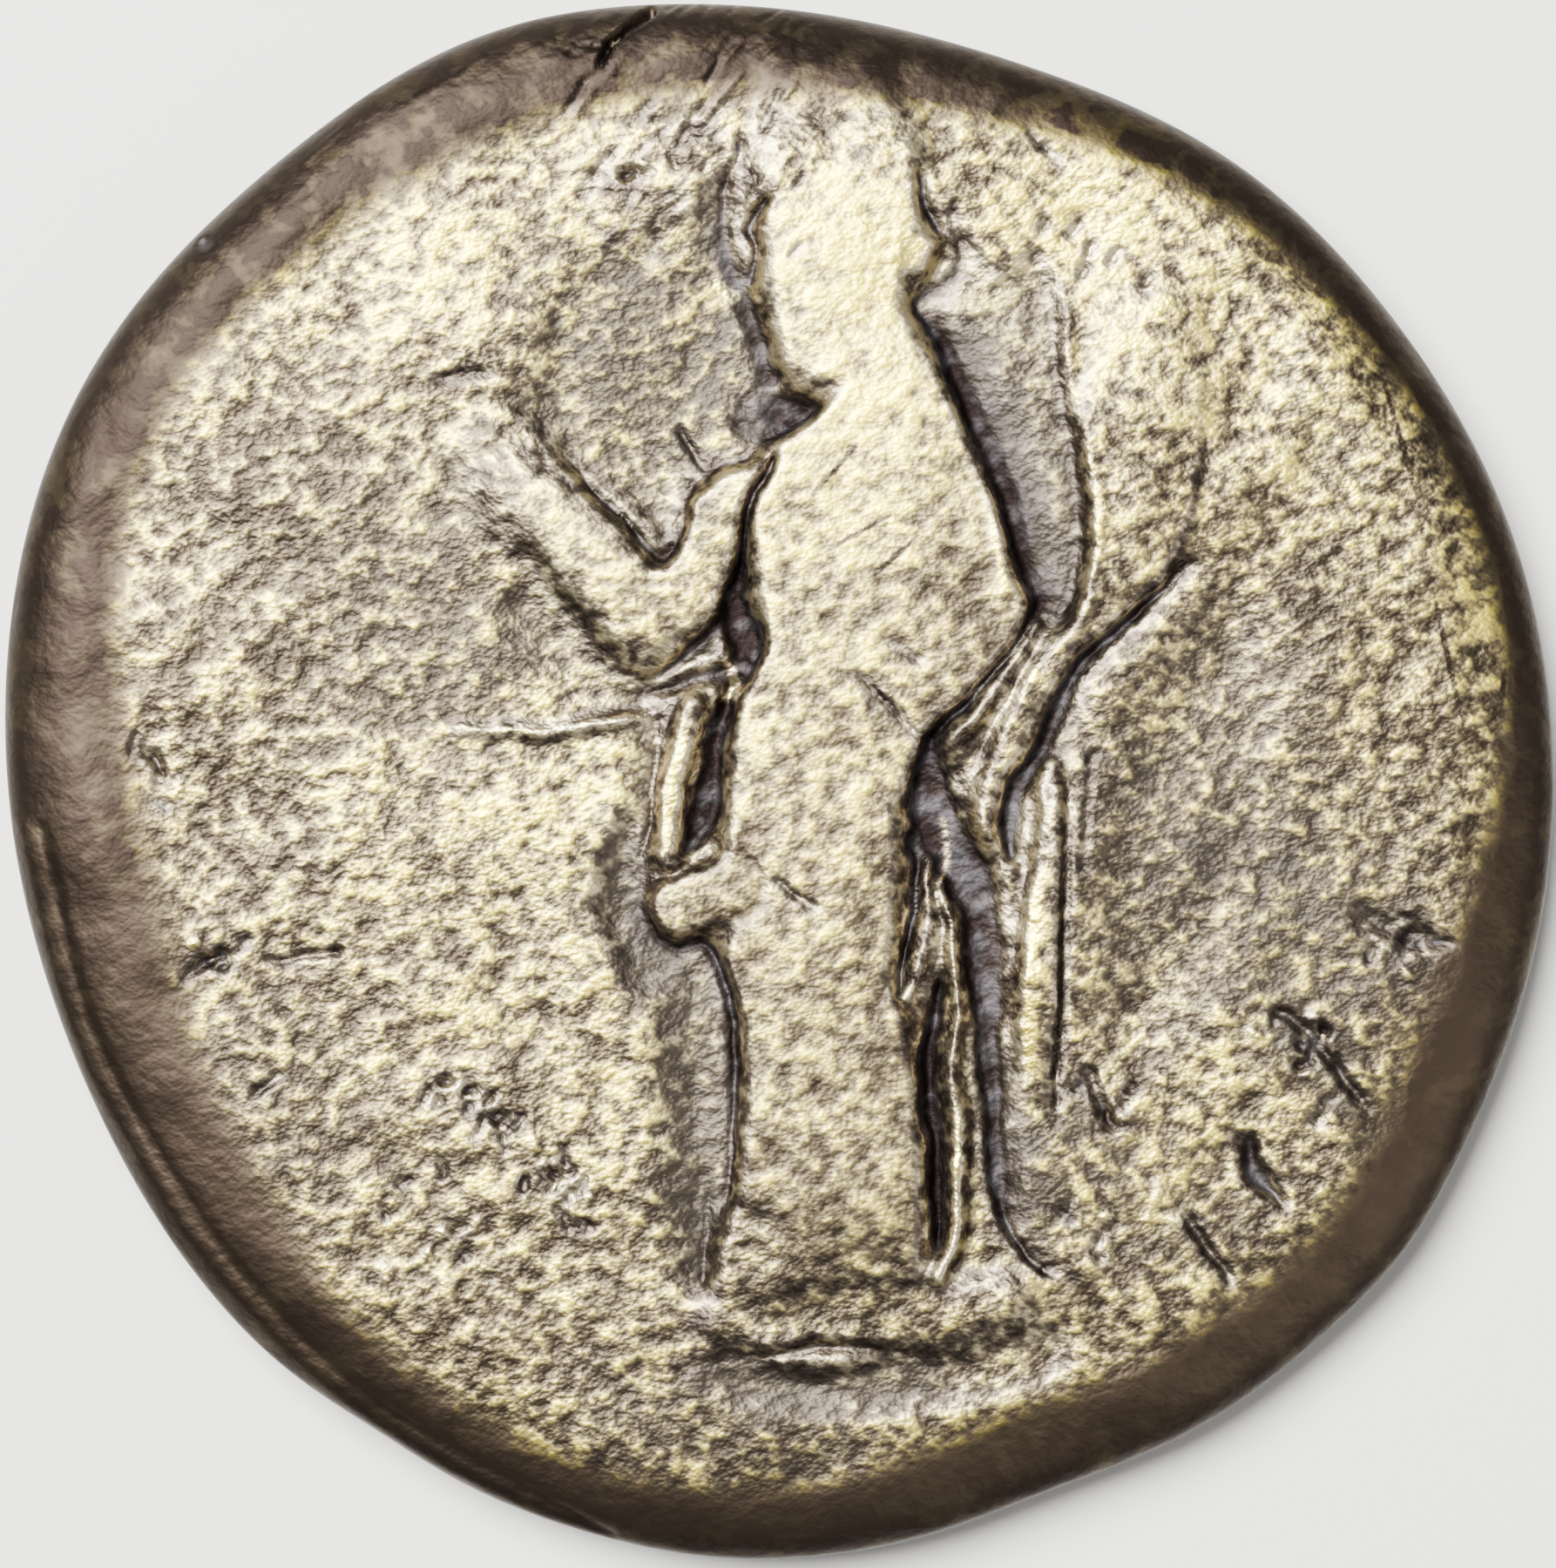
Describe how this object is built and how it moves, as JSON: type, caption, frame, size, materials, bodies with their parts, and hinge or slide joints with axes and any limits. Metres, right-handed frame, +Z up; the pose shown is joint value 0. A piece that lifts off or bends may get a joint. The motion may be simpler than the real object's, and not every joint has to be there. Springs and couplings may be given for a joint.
{
  "type": "worn silver denarius coin",
  "caption": "Worn Roman silver denarius lying with its reverse up: a standing draped figure with a horn of plenty on an uneven hand-struck flan.",
  "frame": {"origin": "under the middle of the flan, on the surface the coin lies on", "axes": "+Z up through the thickness, out of the reverse; +Y towards the head of the standing figure"},
  "size_m": [0.0176, 0.0178, 0.0017],
  "materials": {
    "silver": "worn, grainy debased silver with a pale golden tone and dark grey-brown patina in the recesses"
  },
  "bodies": {
    "root": {"struck_flan": "silver"}
  },
  "joints": []
}
